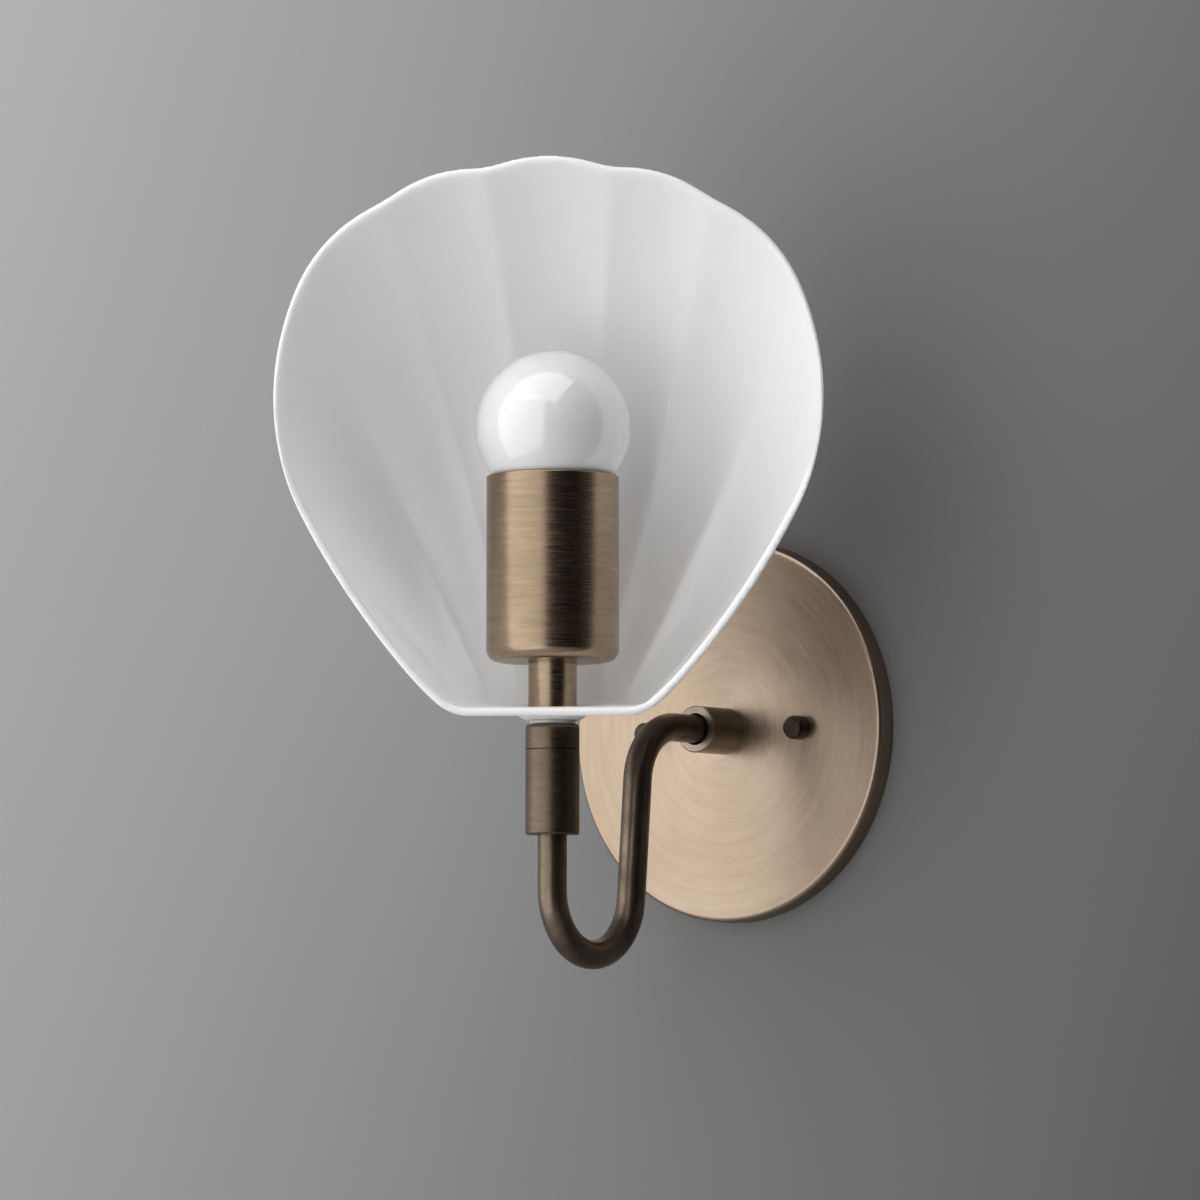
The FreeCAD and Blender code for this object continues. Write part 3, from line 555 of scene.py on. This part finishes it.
def glass_shell(materials):
    """Wall, floor and rounded edge, melted into one skin like pressed glass."""
    shell = new_object("shell_glass", wall_mesh)
    for maker in (floor_mesh, bead_mesh):
        part = new_object("shell_part", maker)
        applied(shell, "BOOLEAN", operation="UNION", solver="EXACT", object=part)
        bpy.data.objects.remove(part)
    applied(shell, "REMESH", mode="VOXEL", voxel_size=SKIN_VOXEL)
    applied(shell, "SMOOTH", factor=0.5, iterations=SKIN_SOFTEN)
    applied(shell, "DECIMATE", ratio=SKIN_KEEP)
    low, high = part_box("glass_shade")
    for vertex in shell.data.vertices:
        vertex.co = [min(max(c, a), b) for c, a, b in zip(vertex.co, low, high)]
    shell.data.materials.clear()
    shell.data.materials.append(materials["glass_shade"])
    shell.data.shade_smooth()
    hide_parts("glass_shade")
    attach(shell, "head")


# ---------------------------------------------------------------- studio
def stage(name, corners, faces, material):
    mesh = bpy.data.meshes.new(name)
    mesh.from_pydata(corners, [], faces)
    mesh.materials.append(material)
    obj = bpy.data.objects.new(name, mesh)
    bpy.context.scene.collection.objects.link(obj)


def plaster_with_painted_shade(name, light, dark):
    """Matt paint, clear from behind so that the back of the sconce can be seen, with a painted shade
    that darkens it to the right and downwards.
    """
    shade = Shade(name)
    cloud = shade.noise(shade.place(), 1.4, 2.0, 0.5)
    split = shade.node("ShaderNodeSeparateXYZ", Vector=shade.place())
    # painted shade: the colour runs from light to dark towards the right and downwards, with a little
    # random cloud
    across = shade.span(split.outputs["X"], -PAINTED_SHADE_REACH, PAINTED_SHADE_REACH, 0.0, PAINTED_SHADE_ACROSS)
    down = shade.span(split.outputs["Z"], PAINTED_SHADE_REACH, -PAINTED_SHADE_REACH, 0.0, PAINTED_SHADE_DOWN)
    tone = shade.math("ADD", across, shade.math("MULTIPLY", cloud, FADE_CLOUD))
    tone = shade.math("ADD", tone, down)
    shade.join(Base_Color=shade.ramp(tone, [(0.0, light), (1.0, dark)]))
    shade.set(Roughness=0.9)
    behind = shade.node("ShaderNodeNewGeometry").outputs["Backfacing"]
    clear = shade.node("ShaderNodeBsdfTransparent")
    mix = shade.node("ShaderNodeMixShader", Fac=behind)
    shade.links.new(shade.bsdf.outputs[0], mix.inputs[1])
    shade.links.new(clear.outputs[0], mix.inputs[2])
    shade.links.new(mix.outputs[0], shade.nodes["Material Output"].inputs[0])
    return shade.mat


def room():
    """The floor, and a wall with the wall box's round opening behind the canopy."""
    half = WALL_SIZE / 2
    low = -FLOOR_DROP
    turns = [2 * math.pi * i / BOX_SIDES for i in range(BOX_SIDES)]
    hole = [(BOX_R * math.cos(a), WALL_GAP, BOX_R * math.sin(a)) for a in turns]
    edge = []
    for a in turns:
        reach = half / max(abs(math.cos(a)), abs(math.sin(a)))
        edge.append((reach * math.cos(a), WALL_GAP, max(low, reach * math.sin(a))))
    faces = [(i, (i + 1) % BOX_SIDES, BOX_SIDES + (i + 1) % BOX_SIDES, BOX_SIDES + i)
             for i in range(BOX_SIDES)]
    # painted shade: the wall darkens from grey 0.345 to almost black, and the floor from 0.80 to 0.70
    stage("stage_wall", edge + hole, faces, plaster_with_painted_shade("wall_painted_shade", grey(0.345), grey(0.02)))
    ground = [(-half, -WALL_SIZE, low), (half, -WALL_SIZE, low),
              (half, WALL_GAP, low), (-half, WALL_GAP, low)]
    stage("stage_floor", ground, [(0, 1, 2, 3)], plaster_with_painted_shade("floor_painted_shade", grey(0.80), grey(0.70)))


def from_angles(azimuth, elevation, distance):
    """A point seen from the target at this azimuth and elevation."""
    a, e = math.radians(azimuth), math.radians(elevation)
    away = Vector((math.sin(a) * math.cos(e), -math.cos(a) * math.cos(e), math.sin(e)))
    return VIEW_TARGET + away * distance


def aim(obj, place):
    obj.location = place
    obj.rotation_euler = (VIEW_TARGET - place).to_track_quat("-Z", "Y").to_euler()


def softbox(name, azimuth, elevation, size, watts):
    lamp = bpy.data.lights.new(name, "AREA")
    lamp.shape = "RECTANGLE"
    lamp.size, lamp.size_y = size
    lamp.energy = watts
    obj = bpy.data.objects.new(name, lamp)
    bpy.context.scene.collection.objects.link(obj)
    aim(obj, from_angles(azimuth, elevation, KEY_DISTANCE))


def world_fade(tree, axis, span, low, high):
    """A strength that changes with one axis of the direction."""
    fade = tree.nodes.new("ShaderNodeMapRange")
    for socket, value in zip(fade.inputs[1:5], (*span, low, high)):
        socket.default_value = value
    tree.links.new(axis, fade.inputs["Value"])
    return fade


def lights():
    """A large softbox to the left, a smaller one above, and a room that is bright to the left."""
    softbox("key_softbox", KEY_AZIMUTH, KEY_ELEVATION, KEY_SIZE, KEY_WATTS)
    softbox("top_softbox", TOP_AZIMUTH, TOP_ELEVATION, TOP_SIZE, TOP_WATTS)
    world = bpy.data.worlds.new("studio")
    world.use_nodes = True
    tree = world.node_tree
    background = tree.nodes["Background"]
    background.inputs["Color"].default_value = (1.0, 1.0, 1.0, 1.0)
    split = tree.nodes.new("ShaderNodeSeparateXYZ")
    tree.links.new(tree.nodes.new("ShaderNodeTexCoord").outputs["Generated"], split.inputs[0])
    side = world_fade(tree, split.outputs["X"], FILL_SPAN, FILL_LEFT, FILL_RIGHT)
    side.interpolation_type = "SMOOTHSTEP"
    behind = world_fade(tree, split.outputs["Y"], BEHIND_SPAN, 0.0, FILL_BEHIND)
    both = tree.nodes.new("ShaderNodeMath")
    both.operation = "MAXIMUM"
    tree.links.new(side.outputs[0], both.inputs[0])
    tree.links.new(behind.outputs[0], both.inputs[1])
    tree.links.new(both.outputs[0], background.inputs["Strength"])
    bpy.context.scene.world = world


def camera():
    lens = bpy.data.cameras.new("photo_camera")
    lens.sensor_width = SENSOR
    lens.lens = SENSOR * FOCAL_PX / PHOTO_PX
    lens.clip_start = 0.01
    lens.clip_end = 50.0
    obj = bpy.data.objects.new("photo_camera", lens)
    bpy.context.scene.collection.objects.link(obj)
    aim(obj, from_angles(VIEW_AZIMUTH, VIEW_ELEVATION, VIEW_DISTANCE))
    bpy.context.scene.camera = obj


materials = node_materials()
dress(frame["nodes"], materials)
glass_shell(materials)
room()
lights()
camera()
bpy.context.scene.view_settings.view_transform = "Standard"
